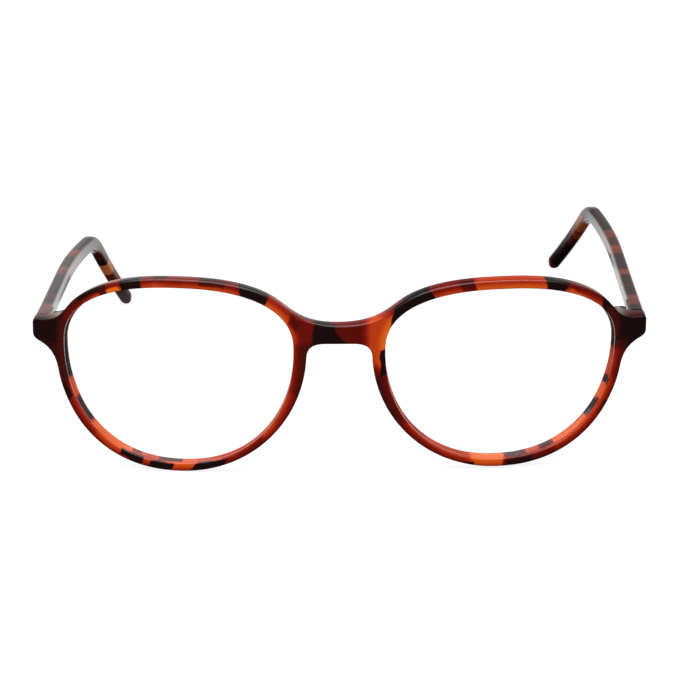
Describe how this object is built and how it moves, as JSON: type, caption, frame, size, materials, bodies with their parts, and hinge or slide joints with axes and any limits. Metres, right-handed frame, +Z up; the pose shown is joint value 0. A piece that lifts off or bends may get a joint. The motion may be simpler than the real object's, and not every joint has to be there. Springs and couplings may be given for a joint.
{
  "type": "eyeglass frame",
  "caption": "Round panto eyeglass frame in glossy tortoiseshell acetate, with bonded nose pads, clear demo lenses and slim temples that fold on sunk barrel hinges.",
  "frame": {"origin": "on the surface that the frame rests on, below the middle of its bounding box", "axes": "+X to the right as seen from in front, -Y the side that the front faces, so the temples run towards +Y, and +Z up"},
  "size_m": [0.1356, 0.1464, 0.0442],
  "materials": {
    "tortoiseshell_acetate": "polished cellulose acetate, red, orange and near-black tortoiseshell",
    "clear_demo_lens": "clear polished acrylic",
    "core_wire_metal": "drawn nickel-silver wire",
    "hinge_metal": "satin nickel silver",
    "screw_metal": "satin stainless steel"
  },
  "bodies": {
    "front_assembly": {"front": "tortoiseshell_acetate", "nose_pad_left": "tortoiseshell_acetate", "nose_pad_right": "tortoiseshell_acetate", "demo_lens_left": "clear_demo_lens", "demo_lens_right": "clear_demo_lens", "front_hinge_left": "hinge_metal", "front_hinge_right": "hinge_metal", "hinge_screw_left": "screw_metal", "hinge_screw_right": "screw_metal"},
    "left_temple_assembly": {"temple_left": "tortoiseshell_acetate", "core_wire_left": "core_wire_metal", "temple_hinge_left": "hinge_metal"},
    "right_temple_assembly": {"temple_right": "tortoiseshell_acetate", "core_wire_right": "core_wire_metal", "temple_hinge_right": "hinge_metal"}
  },
  "joints": [
    {"name": "left_temple_fold", "type": "hinge", "parent": "front_assembly", "child": "left_temple_assembly", "pos_m": [-0.0628, -0.05824, 0.03078], "axis": [0, -0.0131, -0.9999], "range_deg": [0, 86]},
    {"name": "right_temple_fold", "type": "hinge", "parent": "front_assembly", "child": "right_temple_assembly", "pos_m": [0.0628, -0.05821, 0.03209], "axis": [0, -0.0776, 0.997], "range_deg": [0, 80]}
  ]
}
